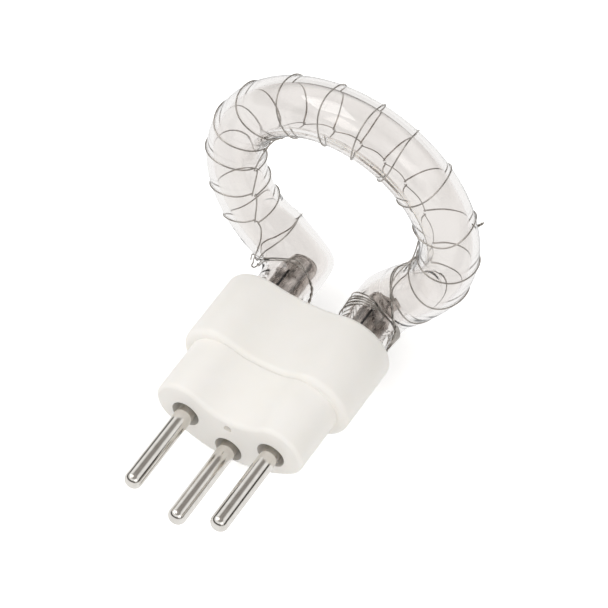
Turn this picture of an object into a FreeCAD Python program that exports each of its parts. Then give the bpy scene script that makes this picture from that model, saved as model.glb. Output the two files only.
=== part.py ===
"""Plug-in ring flash tube: a three-pin plug, a bent glass ring and the trigger wire hitched round it.

Millimetres, +Z up. The origin is in the middle of the plug's front face, on the line of the outer pins.
The pins point along -Y, the glass legs leave the plug along +Y and the ring stands square to them.
"""
import FreeCAD, Part
import Sketcher
import math
import os

Vector = FreeCAD.Vector
Rotation = FreeCAD.Rotation
Placement = FreeCAD.Placement

# Driving dimensions: alias, millimetres (or a count or degrees), what it is
SIZES = [
    ("pin_spacing", 20.5, "between the outer pins' axes, and between the glass legs' axes"),
    ("pin_drop", 5.1, "centre pin's axis below the outer pins' axes"),
    ("pin_dia", 4.0, "contact pin"),
    ("pin_reach", 24.2, "pin beyond the plug's front face"),
    ("pin_tip_round", 1.7, "rounding of the pin's tip"),
    ("pin_flange_rim", 0.6, "flange that seats on the cavity floor, beyond the pin all round"),
    ("pin_flange_thick", 1.2, "same, thickness"),
    ("pin_tail_dia", 3.0, "solder tail behind the flange"),
    ("pin_tail_reach", 3.4, "same, length"),
    ("cup_dia", 1.5, "solder cup in the tail's end"),
    ("cup_depth", 2.4, "same, depth"),
    ("pin_gap", 0.05, "radial gap between a pin and its bore"),
    ("recess_room", 1.2, "recess round each pin in the front face, beyond the pin all round"),
    ("recess_depth", 3.0, "same, depth"),
    ("clip_thick", 0.5, "retaining ring in the pin's groove, at the recess's floor"),
    ("clip_gap", 0.25, "radial gap between the ring and its recess"),
    ("groove_depth", 0.2, "groove in the pin for the ring"),
    ("groove_lead", 0.3, "groove in front of the ring"),
    ("dimple_dia", 1.8, "small blind hole in the front face"),
    ("dimple_depth", 1.2, "same, depth"),
    ("dimple_below", 2.3, "same, below the hollow in the front block's top"),
    ("lobe_out", 0.75, "lobe centre outside the outer pin's axis"),
    ("lobe_height", 1.3, "lobe centre above the outer pins' axes"),
    ("wall", 2.0, "wall of the rear block round its cavity"),
    ("leg_room", 0.8, "between the wall and the glass leg"),
    ("shoulder_step", 2.3, "rear block's lobes over the front block's lobes"),
    ("belly_wall", 0.6, "front block below the centre pin's recess"),
    ("belly_step", 2.1, "rear block's lowest line below the front block's"),
    ("front_waist_dip", 2.4, "hollow of the front block's top, as a cut into the lobe radius"),
    ("rear_waist_dip", 0.6, "same, rear block"),
    ("front_length", 15.0, "front block along the pins"),
    ("front_round", 1.0, "rounded edge of the front face"),
    ("shoulder_round", 1.4, "rounded edge of the shoulder"),
    ("rear_round", 1.0, "rounded edge of the rear rim"),
    ("floor_inset", 1.0, "cavity floor behind the shoulder"),
    ("cement_depth", 6.5, "potting cement round the legs"),
    ("cement_inset", 0.5, "cement surface below the rear rim"),
    ("lead_bare", 1.8, "copper lead between the solder tail and the tungsten rod"),
    ("rod_bare", 1.2, "tungsten rod outside the glass neck"),
    ("neck_length", 2.2, "neck of the seal"),
    ("neck_dia", 4.6, "same, outside"),
    ("neck_wall", 1.35, "same, wall"),
    ("taper_length", 2.2, "leg's end drawn in to the neck"),
    ("leg_sunk", 4.5, "full leg inside the plug, below the rear rim"),
    ("ring_radius", 25.4, "glass centreline"),
    ("arm_length", 15.25, "straight arm from the elbow's corner to the ring"),
    ("ring_over", 12.6, "ring plane beyond the plug's rear rim"),
    ("tube_dia", 12.5, "glass tube round the ring"),
    ("glass_wall", 1.5, "its wall"),
    ("leg_draw", 0.5, "glass leg thinner than the ring's tube by"),
    ("arm_swell", 1.0, "arm thicker than the ring's tube by, where it leaves the elbow"),
    ("elbow_swell", 1.9, "same, elbow"),
    ("elbow_lift", 2.0, "elbow's corner beyond the ring plane"),
    ("elbow_fillet", 2.5, "blend between the elbow and the tubes"),
    ("seal_length", 5.0, "graded glass bead on the rod"),
    ("rod_dia", 1.3, "tungsten rod"),
    ("shell_gap", 0.9, "between the electrode's shell and the leg's bore"),
    ("shell_lift", 2.2, "shell's open end over the leg's end"),
    ("shell_over", 2.0, "shell's rounded top beyond the ring plane"),
    ("sleeve_sheet", 0.3, "its sheet"),
    ("sleeve_round", 1.5, "rounding of the shell's top"),
    ("slit_width", 0.5, "gap of the rolled shell"),
    ("slit_rest", 5.9, "uncut shell beyond the gap"),
    ("core_dia", 5.0, "sintered core inside the shell"),
    ("core_length", 7.0, "same, length"),
    ("core_gap", 1.0, "between the core and the shell's top"),
    ("disc_thick", 0.6, "base disc of the shell"),
    ("ferrule_dia", 2.6, "crimp between rod and lead"),
    ("ferrule_length", 2.2, "same, length"),
    ("lead_dia", 1.1, "copper lead between pin and crimp"),
    ("press_gap", 0.02, "radial gap of pieces that are pressed or crimped together"),
    ("wire_dia", 0.45, "trigger wire"),
    ("wire_gap", 0.03, "between the wire and the glass"),
    ("loop_count", 14, "hitched loops round the ring"),
    ("loop_first", 58.5, "first loop's angle from the bottom of the ring, degrees"),
    ("loop_last", 304.5, "last loop's angle, degrees"),
    ("arm_loop_share", 0.66, "loop on each arm, as a share of the arm from the elbow"),
    ("strand_lift", 0.3, "strand's centreline over the loops' centreline"),
    ("binding_turns", 4, "tight turns round the right leg"),
    ("binding_pitch", 0.8, "same, spacing"),
    ("binding_over", 2.4, "first turn beyond the plug's rear rim"),
    ("tail_dia", 0.7, "twisted end of the wire"),
    ("tail_drop", 2.6, "how far the tails come out below the cement"),
    ("tail_bend", 1.0, "radius of a bend in a tail"),
    ("tail_seat", 0.8, "tail inside the centre pin's solder cup"),
    ("tail_left_rise", 3.0, "upper end of the left tail over the first turn's height"),
    ("tail_right_rise", -1.0, "same, right tail"),
]
NAMES = {alias: value for alias, value, _ in SIZES}

# Sizes that follow from the ones above, as formulas of their names
LEG_DIA = "(tube_dia - leg_draw)"
ARM_DIA = "(tube_dia + arm_swell)"
ELBOW_DIA = "(tube_dia + elbow_swell)"
SLEEVE_DIA = f"({LEG_DIA} - 2 * glass_wall - 2 * shell_gap)"
RECESS_R = "(pin_dia / 2 + recess_room)"
LOBE_OFFSET = "(pin_spacing / 2 + lobe_out)"
REAR_LOBE = f"({LEG_DIA} / 2 + leg_room + wall)"
FRONT_LOBE = f"({REAR_LOBE} - shoulder_step)"
FRONT_BELLY = f"(pin_drop + {RECESS_R} + belly_wall)"
REAR_BELLY = f"({FRONT_BELLY} + belly_step)"
FRONT_WAIST = f"({FRONT_LOBE} - front_waist_dip)"
REAR_WAIST = f"({REAR_LOBE} - rear_waist_dip)"
FLOOR = "(front_length + floor_inset)"
PIN_END = f"({FLOOR} + pin_flange_thick + pin_tail_reach)"
ROD_START = f"({PIN_END} + lead_bare)"
NECK_START = f"({ROD_START} + rod_bare)"
LEG_END = f"({NECK_START} + neck_length + taper_length)"
PLUG_END = f"({LEG_END} + leg_sunk)"
RING_REACH = f"({PLUG_END} + ring_over)"
RING_HEIGHT = "sqrt(ring_radius^2 + arm_length^2 - (pin_spacing / 2)^2)"
SLOPED_ARM = "sqrt(arm_length^2 + elbow_lift^2)"
SLEEVE_START = f"({LEG_END} + shell_lift)"
SLEEVE_TOP = f"({RING_REACH} + shell_over)"
CLIP_START = "(recess_depth - clip_thick)"
BINDING_START = f"({PLUG_END} + binding_over)"

# The wire is thin and repeats, so its section has few sides
WIRE_SIDES = 4
# Two lengths closer than this are the same
SAME = 0.01
# An edge farther than this from the front block belongs to the shoulder's rim
OFF_BLOCK = 0.3

doc = FreeCAD.newDocument("RingFlashTube")


def make_sheet():
    """The driving dimensions, one row each."""
    sheet = doc.addObject("Spreadsheet::Sheet", "dims")
    for row, (alias, value, note) in enumerate(SIZES, start=1):
        sheet.set(f"A{row}", str(value))
        sheet.setAlias(f"A{row}", alias)
        sheet.set(f"B{row}", note)
    doc.recompute()
    return sheet


SHEET = make_sheet()


def size(alias):
    """The number in the sheet, for placements and wires worked out here."""
    return float(SHEET.get(alias))


def bound(text):
    """Write each alias in a formula as a reference to the sheet."""
    out, word = [], ""
    for char in text + " ":
        if char.isalnum() or char == "_":
            word += char
            continue
        out.append(f"dims.{word}" if word in NAMES else word)
        out.append(char)
        word = ""
    return "".join(out).strip()


def worth(text):
    """The value of a formula of aliases."""
    return float(SHEET.evalExpression(bound(text)))


def new_body(label):
    """A body whose label names its file."""
    body = doc.addObject("PartDesign::Body", label)
    body.Label = label
    return body


def plane_of(body, role):
    """One of the body's own origin planes."""
    return next(f for f in body.Origin.OriginFeatures if f.Role == role)


def add_sketch(body, role, name, along="0"):
    """A sketch on an origin plane, moved along the plane's normal by a formula."""
    sketch = body.newObject("Sketcher::SketchObject", name)
    sketch.AttachmentSupport = [(plane_of(body, role), "")]
    sketch.MapMode = "FlatFace"
    if along != "0":
        sketch.setExpression("AttachmentOffset.Base.z", bound(along))
    return sketch


def bind_last(sketch, formula):
    """Tie the constraint added last to a formula."""
    sketch.setExpression(f"Constraints[{sketch.ConstraintCount - 1}]", bound(formula))


def place_point(sketch, geometry, point, across, up):
    """Hold one point of a sketch at a pair of formulas."""
    if across == "0":
        sketch.addConstraint(Sketcher.Constraint("PointOnObject", geometry, point, -2))
    else:
        sketch.addConstraint(Sketcher.Constraint("DistanceX", -1, 1, geometry, point, worth(across)))
        bind_last(sketch, across)
    if up == "0":
        sketch.addConstraint(Sketcher.Constraint("PointOnObject", geometry, point, -1))
    else:
        sketch.addConstraint(Sketcher.Constraint("DistanceY", -1, 1, geometry, point, worth(up)))
        bind_last(sketch, up)


def draw_outline(sketch, corners):
    """A closed outline of straight edges through corners given as pairs of formulas."""
    points = [Vector(worth(across), worth(up), 0) for across, up in corners]
    count = len(points)
    for index in range(count):
        sketch.addGeometry(Part.LineSegment(points[index], points[(index + 1) % count]), False)
    for index in range(count):
        sketch.addConstraint(Sketcher.Constraint("Coincident", index, 2, (index + 1) % count, 1))
        place_point(sketch, index, 1, *corners[index])


def draw_circle(sketch, across, up, radius):
    """A circle at a pair of formulas."""
    index = sketch.GeometryCount
    centre = Vector(worth(across), worth(up), 0)
    sketch.addGeometry(Part.Circle(centre, Vector(0, 0, 1), worth(radius)), False)
    place_point(sketch, index, 3, across, up)
    sketch.addConstraint(Sketcher.Constraint("Radius", index, worth(radius)))
    bind_last(sketch, radius)


def belly_radius(lobe, depth):
    """Radius of the arc that touches both lobes from outside and dips to the belly line."""
    reach = f"({lobe} - {depth})"
    centre = f"(({reach}^2 - {LOBE_OFFSET}^2 - lobe_height^2) / (2 * ({reach} - lobe_height)))"
    return f"({centre} + {depth})"


def waist_radius(lobe, height):
    """Radius of the arc that joins both lobes across the hollow top."""
    reach = f"({lobe} - {height})"
    centre = f"((lobe_height^2 + {LOBE_OFFSET}^2 - {reach}^2) / (2 * (lobe_height + {reach})))"
    return f"({centre} - {height})"


def draw_bean(sketch, lobe, belly, waist, inset="0"):
    """The plug's section: two lobes, a full belly below and a hollow waist above, all tangent."""
    lobe_r = f"({lobe} - {inset})"
    belly_r = f"({belly_radius(lobe, belly)} - {inset})"
    waist_r = f"({waist_radius(lobe, waist)} + {inset})"
    reach, height = worth(LOBE_OFFSET), size("lobe_height")
    belly_centre = worth(belly_radius(lobe, belly)) - worth(belly)
    waist_centre = worth(waist_radius(lobe, waist)) + worth(waist)
    low = math.atan2(height - belly_centre, reach)
    dip = math.atan2(height - waist_centre, reach)
    arcs = [
        (Vector(reach, height, 0), lobe_r, low, math.pi + dip),
        (Vector(0, waist_centre, 0), waist_r, math.pi - dip, 2 * math.pi + dip),
        (Vector(-reach, height, 0), lobe_r, -dip, math.pi - low),
        (Vector(0, belly_centre, 0), belly_r, math.pi - low, 2 * math.pi + low),
    ]
    for centre, radius, start, end in arcs:
        circle = Part.Circle(centre, Vector(0, 0, 1), worth(radius))
        sketch.addGeometry(Part.ArcOfCircle(circle, start, end), False)
    for first, second in (((0, 2), (1, 2)), ((1, 1), (2, 1)), ((2, 2), (3, 1)), ((3, 2), (0, 1))):
        sketch.addConstraint(Sketcher.Constraint("Tangent", *first, *second))
    place_point(sketch, 0, 3, LOBE_OFFSET, "lobe_height")
    sketch.addConstraint(Sketcher.Constraint("Symmetric", 0, 3, 2, 3, -2))
    sketch.addConstraint(Sketcher.Constraint("Equal", 0, 2))
    for index, radius in ((0, lobe_r), (1, waist_r), (3, belly_r)):
        sketch.addConstraint(Sketcher.Constraint("Radius", index, worth(radius)))
        bind_last(sketch, radius)


def add_pad(body, sketch, name, length):
    """Grow a section towards +Y."""
    pad = body.newObject("PartDesign::Pad", name)
    pad.Profile = sketch
    pad.Reversed = True
    pad.setExpression("Length", bound(length))
    doc.recompute()
    return pad


def add_pocket(body, sketch, name, length, towards_rear=True):
    """Cut a section, and stop if it cuts nothing."""
    before = body.Shape.Volume
    pocket = body.newObject("PartDesign::Pocket", name)
    pocket.Profile = sketch
    pocket.Reversed = not towards_rear
    pocket.setExpression("Length", bound(length))
    doc.recompute()
    if body.Shape.Volume > before - SAME:
        raise RuntimeError(f"{name} cuts nothing")
    return pocket


def add_fillet(body, base, name, chosen, radius):
    """Round the edges of the base feature that a test picks."""
    edges = [f"Edge{i}" for i, edge in enumerate(base.Shape.Edges, start=1)
             if not edge.Degenerated and chosen(edge)]
    fillet = body.newObject("PartDesign::Fillet", name)
    fillet.Base = (base, edges)
    fillet.setExpression("Radius", bound(radius))
    doc.recompute()
    return fillet


def midpoint(edge):
    """The point halfway along an edge."""
    return edge.valueAt((edge.FirstParameter + edge.LastParameter) / 2)


def lies_at(edge, along):
    """Whether an edge lies in the plane at this distance from the front face."""
    box = edge.BoundBox
    return abs(box.YMin - along) < SAME and abs(box.YMax - along) < SAME


def turned(label, corners, across="0", up="0"):
    """A piece turned about its own axis, which runs along Y: corners are (radius, distance) formulas."""
    body = new_body(label)
    sketch = add_sketch(body, "XY_Plane", f"{label}_profile")
    draw_outline(sketch, corners)
    turn = body.newObject("PartDesign::Revolution", f"{label}_turn")
    turn.Profile = sketch
    turn.ReferenceAxis = (sketch, ["V_Axis"])
    turn.Angle = 360
    if across != "0":
        body.setExpression("Placement.Base.x", bound(across))
    if up != "0":
        body.setExpression("Placement.Base.z", bound(up))
    doc.recompute()
    return body


PINS = {
    "left": ("-pin_spacing / 2", "0"),
    "right": ("pin_spacing / 2", "0"),
    "centre": ("0", "-pin_drop"),
}


def make_plug():
    """Moulded plug: a front block, a wider rear block with a shoulder, and a cavity open to the rear."""
    body = new_body("plug_body")
    front = add_sketch(body, "XZ_Plane", "front_section")
    draw_bean(front, FRONT_LOBE, FRONT_BELLY, FRONT_WAIST)
    add_pad(body, front, "front_block", "front_length")
    rear = add_sketch(body, "XZ_Plane", "rear_section", "-front_length")
    draw_bean(rear, REAR_LOBE, REAR_BELLY, REAR_WAIST)
    base = add_pad(body, rear, "rear_block", f"{PLUG_END} - front_length")
    shoulder_at, end_at = size("front_length"), worth(PLUG_END)
    base = add_fillet(body, base, "front_edge", lambda e: lies_at(e, 0), "front_round")
    base = add_fillet(body, base, "rear_edge", lambda e: lies_at(e, end_at), "rear_round")
    block = front.Shape.copy()
    block.translate(Vector(0, shoulder_at, 0))

    def on_rim(edge):
        """Whether an edge is the shoulder's outer rim and not the foot of the front block."""
        clear = block.distToShape(Part.Vertex(midpoint(edge)))[0]
        return lies_at(edge, shoulder_at) and clear > OFF_BLOCK

    add_fillet(body, base, "shoulder_edge", on_rim, "shoulder_round")
    cavity = add_sketch(body, "XZ_Plane", "cavity_section", f"-{PLUG_END}")
    draw_bean(cavity, REAR_LOBE, REAR_BELLY, REAR_WAIST, "wall")
    add_pocket(body, cavity, "cavity", f"{PLUG_END} - {FLOOR}", towards_rear=False)
    recesses = add_sketch(body, "XZ_Plane", "recess_circles")
    bores = add_sketch(body, "XZ_Plane", "bore_circles")
    for across, up in PINS.values():
        draw_circle(recesses, across, up, RECESS_R)
        draw_circle(bores, across, up, "pin_dia / 2 + pin_gap")
    add_pocket(body, recesses, "pin_recesses", "recess_depth")
    add_pocket(body, bores, "pin_bores", f"{FLOOR} + pin_flange_thick")
    dimple = add_sketch(body, "XZ_Plane", "dimple_circle")
    draw_circle(dimple, "0", f"{FRONT_WAIST} - dimple_below", "dimple_dia / 2")
    add_pocket(body, dimple, "dimple", "dimple_depth")
    return body


def make_pin(side):
    """Contact pin: rounded tip, ring groove, a flange that seats on the cavity floor and a solder cup."""
    across, up = PINS[side]
    radius, groove, flange = "pin_dia / 2", "pin_dia / 2 - groove_depth", "pin_dia / 2 + pin_flange_rim"
    groove_start = f"({CLIP_START} - groove_lead)"
    corners = [
        ("0", "-pin_reach"),
        (radius, "-pin_reach"),
        (radius, groove_start),
        (groove, groove_start),
        (groove, "recess_depth"),
        (radius, "recess_depth"),
        (radius, FLOOR),
        (flange, FLOOR),
        (flange, f"{FLOOR} + pin_flange_thick"),
        ("pin_tail_dia / 2", f"{FLOOR} + pin_flange_thick"),
        ("pin_tail_dia / 2", PIN_END),
        ("cup_dia / 2", PIN_END),
        ("cup_dia / 2", f"{PIN_END} - cup_depth"),
        ("0", f"{PIN_END} - cup_depth"),
    ]
    body = turned(f"pin_{side}", corners, across, up)
    tip = size("pin_reach")
    add_fillet(body, body.Tip, f"pin_{side}_tip", lambda e: lies_at(e, -tip), "pin_tip_round")
    return body


def make_clip(side):
    """Ring in the pin's groove at the bottom of the recess, which holds the flange against the floor."""
    across, up = PINS[side]
    outer, inner = f"{RECESS_R} - clip_gap", "pin_dia / 2 - groove_depth + press_gap"
    corners = [(inner, CLIP_START), (outer, CLIP_START), (outer, "recess_depth"), (inner, "recess_depth")]
    return turned(f"pin_clip_{side}", corners, across, up)


def make_cement():
    """Potting cement in the cavity's mouth round both legs, with a way through for each wire tail."""
    body = new_body("potting_cement")
    foot = f"({PLUG_END} - cement_inset - cement_depth)"
    outer = add_sketch(body, "XZ_Plane", "cement_section", f"-{foot}")
    draw_bean(outer, REAR_LOBE, REAR_BELLY, REAR_WAIST, "wall")
    add_pad(body, outer, "cement_block", "cement_depth")
    holes = add_sketch(body, "XZ_Plane", "leg_holes", f"-{PLUG_END}")
    for sign in ("-", ""):
        draw_circle(holes, f"{sign}pin_spacing / 2", "0", f"{LEG_DIA} / 2")
    add_pocket(body, holes, "leg_sockets", PLUG_END, towards_rear=False)
    tails = add_sketch(body, "XZ_Plane", "tail_holes", f"-{PLUG_END}")
    draw_circle(tails, TAIL_LEFT, "0", "tail_dia / 2 + press_gap")
    draw_circle(tails, TAIL_RIGHT, "0", "tail_dia / 2 + press_gap")
    add_pocket(body, tails, "tail_sockets", PLUG_END, towards_rear=False)
    return body


TAIL_OFF_LEG = f"({LEG_DIA} / 2 + wire_dia + 3 * wire_gap + tail_dia / 2)"
TAIL_LEFT = f"(-pin_spacing / 2 + {TAIL_OFF_LEG})"
TAIL_RIGHT = f"(pin_spacing / 2 + {TAIL_OFF_LEG})"


def along_y(across, start, up=0.0):
    """Placement that turns a primitive's own Z axis to +Y."""
    return Placement(Vector(across, start, up), Rotation(Vector(0, 0, 1), Vector(0, 1, 0)))


def arm_geometry():
    """Left elbow's corner, the point where the arm meets the ring and that point's angle."""
    reach, height, radius = size("pin_spacing") / 2, worth(RING_HEIGHT), size("ring_radius")
    span = math.hypot(reach, height)
    angle = math.atan2(reach, height) + math.acos(radius / span)
    corner = Vector(-reach, worth(f"{RING_REACH} + elbow_lift"), 0)
    touch = Vector(-radius * math.sin(angle), worth(RING_REACH), height - radius * math.cos(angle))
    return corner, touch, math.degrees(angle)


def primitive(kind, name, placement, **formulas):
    """A Part primitive with each size tied to the sheet."""
    thing = doc.addObject(f"Part::{kind}", name)
    for prop, formula in formulas.items():
        thing.setExpression(prop, bound(formula))
    thing.Placement = placement
    return thing


def make_elbow(name, inset, neck_inset):
    """Left leg, its drawn-in end and neck, the swollen elbow and the straight arm, as one blended form."""
    corner, touch, _ = arm_geometry()
    left, leg_end, shift = -size("pin_spacing") / 2, worth(LEG_END), worth(inset)
    toward_ring = Rotation(Vector(0, 0, 1), touch.sub(corner))
    pieces = [
        primitive("Cylinder", f"{name}_leg", along_y(left, leg_end + shift), Radius=f"{LEG_DIA} / 2 - {inset}",
                  Height=f"{RING_REACH} + elbow_lift - {LEG_END} - {inset}"),
        primitive("Sphere", f"{name}_ball", Placement(corner, toward_ring),
                  Radius=f"{ELBOW_DIA} / 2 - {inset}"),
        primitive("Cone", f"{name}_arm", Placement(corner, toward_ring), Height=SLOPED_ARM,
                  Radius1=f"{ARM_DIA} / 2 - {inset}", Radius2=f"tube_dia / 2 - {inset}"),
    ]
    blend = doc.addObject("Part::MultiFuse", f"{name}_joined")
    blend.Shapes = pieces
    blend.Refine = True
    doc.recompute()
    rounded = doc.addObject("Part::Fillet", f"{name}_blended")
    rounded.Base = blend
    radius = size("elbow_fillet")
    creases = [i for i, e in enumerate(blend.Shape.Edges, start=1) if is_crease(e, blend.Shape)]
    rounded.Edges = [(i, radius, radius) for i in creases]
    neck = f"neck_dia / 2 - {neck_inset}"
    ends = [
        primitive("Cone", f"{name}_taper", along_y(left, leg_end - size("taper_length") + shift),
                  Radius1=neck, Radius2=f"{LEG_DIA} / 2 - {inset}", Height="taper_length"),
        primitive("Cylinder", f"{name}_neck", along_y(left, worth(NECK_START) - shift),
                  Radius=neck, Height=f"neck_length + 2 * {inset}"),
    ]
    whole = doc.addObject("Part::MultiFuse", f"{name}_side")
    whole.Shapes = [rounded] + ends
    whole.Refine = True
    return whole


def is_crease(edge, shape):
    """Whether an edge is a crease between two of the elbow's forms, not a tube's end or its seam line."""
    if edge.Degenerated:
        return False
    faces = [f for f in shape.Faces if any(e.isSame(edge) for e in f.Edges)]
    return len(faces) == 2 and not any(isinstance(f.Surface, Part.Plane) for f in faces)


def make_glass():
    """One bent tube: two legs, two elbows, two arms and the ring, with the bore cut from it."""
    _, _, angle = arm_geometry()
    forms = []
    for name, inset, neck_inset in (("outside", "0", "0"), ("bore", "glass_wall", "neck_wall")):
        side = make_elbow(name, inset, neck_inset)
        other = doc.addObject("Part::Mirroring", f"{name}_mirrored")
        other.Source = side
        other.Normal = Vector(1, 0, 0)
        centre = Vector(0, worth(RING_REACH), worth(RING_HEIGHT))
        turn = Rotation(Vector(0, 0, 1), Vector(0, 1, 0))
        start = Rotation(Vector(0, 1, 0), 90 + angle)
        ring = primitive("Torus", f"{name}_ring", Placement(centre, start.multiply(turn)),
                         Radius1="ring_radius", Radius2=f"tube_dia / 2 - {inset}")
        ring.Angle3 = 360 - 2 * angle
        form = doc.addObject("Part::MultiFuse", f"{name}_form")
        form.Shapes = [side, other, ring]
        form.Refine = True
        forms.append(form)
    glass = doc.addObject("Part::Cut", "glass_tube")
    glass.Base, glass.Tool = forms
    doc.recompute()
    return glass


ELECTRODES = {"cathode": "-pin_spacing / 2", "anode": "pin_spacing / 2"}


def make_electrode(name, across):
    """Everything on one leg's axis, from the pin's solder cup to the electrode's shell."""
    rod, shell, sheet = "rod_dia / 2", f"{SLEEVE_DIA} / 2", "sleeve_sheet"
    core_start = f"({SLEEVE_TOP} - {sheet} - core_gap - core_length)"
    inner = f"{shell} - {sheet}"
    sleeve = turned(f"{name}_sleeve", [
        (inner, SLEEVE_START), (shell, SLEEVE_START), (shell, SLEEVE_TOP),
        ("0", SLEEVE_TOP), ("0", f"{SLEEVE_TOP} - {sheet}"), (inner, f"{SLEEVE_TOP} - {sheet}"),
    ], across)
    top = worth(SLEEVE_TOP)
    add_fillet(sleeve, sleeve.Tip, f"{name}_shoulder", lambda e: lies_at(e, top), "sleeve_round")
    slit = add_sketch(sleeve, "XZ_Plane", f"{name}_slit_outline", f"-{SLEEVE_START}")
    low, high = f"{SLEEVE_DIA} / 4", SLEEVE_DIA
    draw_outline(slit, [("-slit_width / 2", low), ("slit_width / 2", low),
                        ("slit_width / 2", high), ("-slit_width / 2", high)])
    add_pocket(sleeve, slit, f"{name}_slit", f"{SLEEVE_TOP} - {SLEEVE_START} - slit_rest")
    bored, inside = f"{rod} + press_gap", f"{shell} - {sheet} - press_gap"
    core_end, rod_end = f"{core_start} + core_length", f"{core_start} + core_length / 2"
    disc_end, bead_end = f"{SLEEVE_START} + disc_thick", f"{NECK_START} + seal_length"
    bead = "neck_dia / 2 - neck_wall"
    crimp_start, crimp_end = f"{ROD_START} - ferrule_length / 2", f"{ROD_START} + ferrule_length / 2"
    lead, lead_start, crimp = "lead_dia / 2", f"{PIN_END} - cup_depth", "ferrule_dia / 2"
    profiles = {
        "base_disc": [(bored, SLEEVE_START), (inside, SLEEVE_START), (inside, disc_end), (bored, disc_end)],
        "core": [(bored, core_start), ("core_dia / 2", core_start), ("core_dia / 2", core_end),
                 ("0", core_end), ("0", rod_end), (bored, rod_end)],
        "rod": [("0", ROD_START), (rod, ROD_START), (rod, rod_end), ("0", rod_end)],
        "seal": [(rod, NECK_START), (bead, NECK_START), (bead, bead_end), (rod, bead_end)],
        "ferrule": [(bored, crimp_start), (crimp, crimp_start), (crimp, crimp_end), (bored, crimp_end)],
        "lead": [("0", lead_start), (lead, lead_start), (lead, ROD_START), ("0", ROD_START)],
    }
    return [sleeve] + [turned(f"{name}_{piece}", corners, across) for piece, corners in profiles.items()]


def ring_point(angle, radius):
    """A point of a circle in the ring's plane, by its angle from the bottom towards the left leg."""
    turn = math.radians(angle)
    across, up = -radius * math.sin(turn), worth(RING_HEIGHT) - radius * math.cos(turn)
    return Vector(across, worth(RING_REACH), up)


def wire_ring(name, placement, radius, sweep=360):
    """A ring of wire, or part of one, turned about its own axis from a section with few sides."""
    section = doc.addObject("Part::RegularPolygon", f"{name}_section")
    section.Polygon = WIRE_SIDES
    section.setExpression("Circumradius", bound("wire_dia / 2"))
    section.setExpression("Placement.Base.x", bound(radius))
    section.Placement = Placement(Vector(worth(radius), 0, 0), Rotation(Vector(0, 0, 1), Vector(0, 1, 0)))
    ring = doc.addObject("Part::Revolution", name)
    ring.Source = section
    ring.Axis = Vector(0, 0, 1)
    ring.Angle = sweep
    ring.Solid = True
    ring.Placement = placement
    return ring


OVER_TUBE = "(tube_dia / 2 + wire_dia / 2 + wire_gap)"
OVER_LEG = f"({LEG_DIA} / 2 + wire_dia / 2 + wire_gap)"


def make_winding():
    """Trigger wire: loops round the glass, hitched to a strand that runs over them inside the ring."""
    count, first, last = int(size("loop_count")), size("loop_first"), size("loop_last")
    corner, touch, angle = arm_geometry()
    pieces = []
    for index in range(count):
        at = first + (last - first) * index / (count - 1)
        turn = math.radians(at)
        tangent = Vector(-math.cos(turn), 0, math.sin(turn))
        place = Placement(ring_point(at, size("ring_radius")), Rotation(Vector(0, 0, 1), tangent))
        pieces.append(wire_ring(f"loop_{index + 1}", place, OVER_TUBE))
    inner = f"ring_radius - ({OVER_TUBE} + strand_lift)"
    start = Rotation(Vector(0, 1, 0), 90 + angle).multiply(Rotation(Vector(0, 0, 1), Vector(0, 1, 0)))
    centre = Vector(0, worth(RING_REACH), worth(RING_HEIGHT))
    pieces.append(wire_ring("inner_strand", Placement(centre, start), inner, 360 - 2 * angle))
    arm = touch.sub(corner)
    for side, sign in (("left", 1), ("right", -1)):
        middle = corner + arm * size("arm_loop_share")
        middle.x *= sign
        way = Vector(sign * arm.x, arm.y, arm.z)
        grown = f"{OVER_TUBE} + arm_swell / 2 * (1 - arm_loop_share)"
        place = Placement(middle, Rotation(Vector(0, 0, 1), way))
        pieces.append(wire_ring(f"arm_loop_{side}", place, grown))
        begin = ring_point(angle, worth(inner))
        begin.x *= sign
        run = doc.addObject("Part::Prism", f"arm_strand_{side}")
        run.Polygon = WIRE_SIDES
        run.setExpression("Circumradius", bound("wire_dia / 2"))
        run.setExpression("Height", bound(f"(1 - arm_loop_share) * {SLOPED_ARM} + wire_dia"))
        run.Placement = Placement(begin, Rotation(Vector(0, 0, 1), way * -1))
        pieces.append(run)
    winding = doc.addObject("Part::MultiFuse", "trigger_wire")
    winding.Shapes = pieces
    doc.recompute()
    return winding


def make_binding():
    """Tight turns of the same wire round the right leg, just above the plug."""
    turns = []
    for index in range(int(size("binding_turns"))):
        place = along_y(size("pin_spacing") / 2, worth(BINDING_START) + index * size("binding_pitch"))
        turns.append(wire_ring(f"turn_{index + 1}", place, OVER_LEG))
    tie = doc.addObject("Part::Prism", "turns_tie")
    tie.Polygon = WIRE_SIDES
    tie.setExpression("Circumradius", bound("wire_dia / 2"))
    tie.setExpression("Height", bound("binding_pitch * (binding_turns - 1) + wire_dia"))
    over = worth(f"{OVER_LEG} + strand_lift")
    start = worth(BINDING_START) - size("wire_dia") / 2
    tie.Placement = along_y(size("pin_spacing") / 2, start, over)
    binding = doc.addObject("Part::MultiFuse", "trigger_binding")
    binding.Shapes = turns + [tie]
    doc.recompute()
    return binding


def make_tail(name, across, start):
    """Twisted wire end that runs down beside a leg, through the cement, to the centre pin's solder cup."""
    off = worth(across)
    pin_end = worth(PIN_END)
    below = worth(f"{PLUG_END} - cement_inset - cement_depth - tail_drop")
    drop = -size("pin_drop")
    radius = size("tail_dia") / 2
    side = math.copysign(radius, off)
    bend = size("tail_bend")
    points = [Vector(off, start, 0), Vector(off, below, 0), Vector(side, pin_end + bend, drop),
              Vector(side, pin_end - size("tail_seat"), drop)]
    path = rounded_path(points, bend)
    circle = Part.Wire([Part.Edge(Part.Circle(points[0], Vector(0, 1, 0), radius))])
    tail = doc.addObject("Part::Feature", name)
    tail.Shape = path.makePipeShell([circle], True, False)
    return tail


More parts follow.
